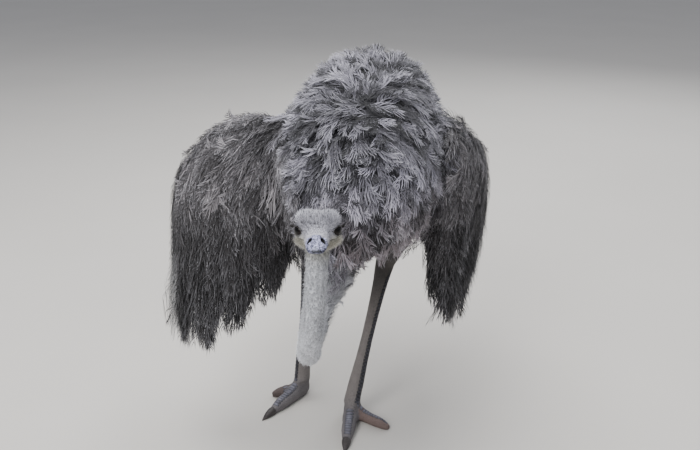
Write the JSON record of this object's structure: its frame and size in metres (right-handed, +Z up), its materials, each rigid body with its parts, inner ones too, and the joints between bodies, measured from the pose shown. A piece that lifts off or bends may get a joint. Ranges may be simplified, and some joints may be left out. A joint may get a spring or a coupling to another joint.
{
  "type": "ostrich",
  "caption": "Life-size standing ostrich in grey-brown female plumage, neck looped low and head raised, wings drooped and held out.",
  "frame": {"origin": "on the floor, under the middle of the bird's outline seen from above", "axes": "+Z up, the bird faces -Y, +X is its left side"},
  "size_m": [0.9504, 1.3404, 1.1861],
  "materials": {
    "plumage": "loose grey-brown contour feathers with pale tips",
    "wing_plumage": "long soft plumes, dark brown, the lowest whitish at the tips",
    "down": "short pale grey down with dark bristles",
    "bill": "dull lavender-grey horn",
    "eye": "wet, very dark brown",
    "leg_skin": "bare scaly grey-brown skin with dark scutes",
    "claw": "dark worn horn"
  },
  "bodies": {
    "root": {"trunk": "plumage", "tail": "plumage", "wing_left": "wing_plumage", "wing_right": "wing_plumage", "head": "down", "neck_upper": "down", "neck_middle": "down", "neck_lower": "down", "neck_root": "down", "bill_upper": "bill", "bill_lower": "bill", "eye_left": "eye", "eye_right": "eye", "thigh_left": "leg_skin", "thigh_right": "leg_skin", "shank_left": "leg_skin", "shank_right": "leg_skin", "tarsus_left": "leg_skin", "tarsus_right": "leg_skin", "toe_main_left": "leg_skin", "toe_main_right": "leg_skin", "toe_outer_left": "leg_skin", "toe_outer_right": "leg_skin", "claw_left": "claw", "claw_right": "claw"}
  },
  "joints": []
}
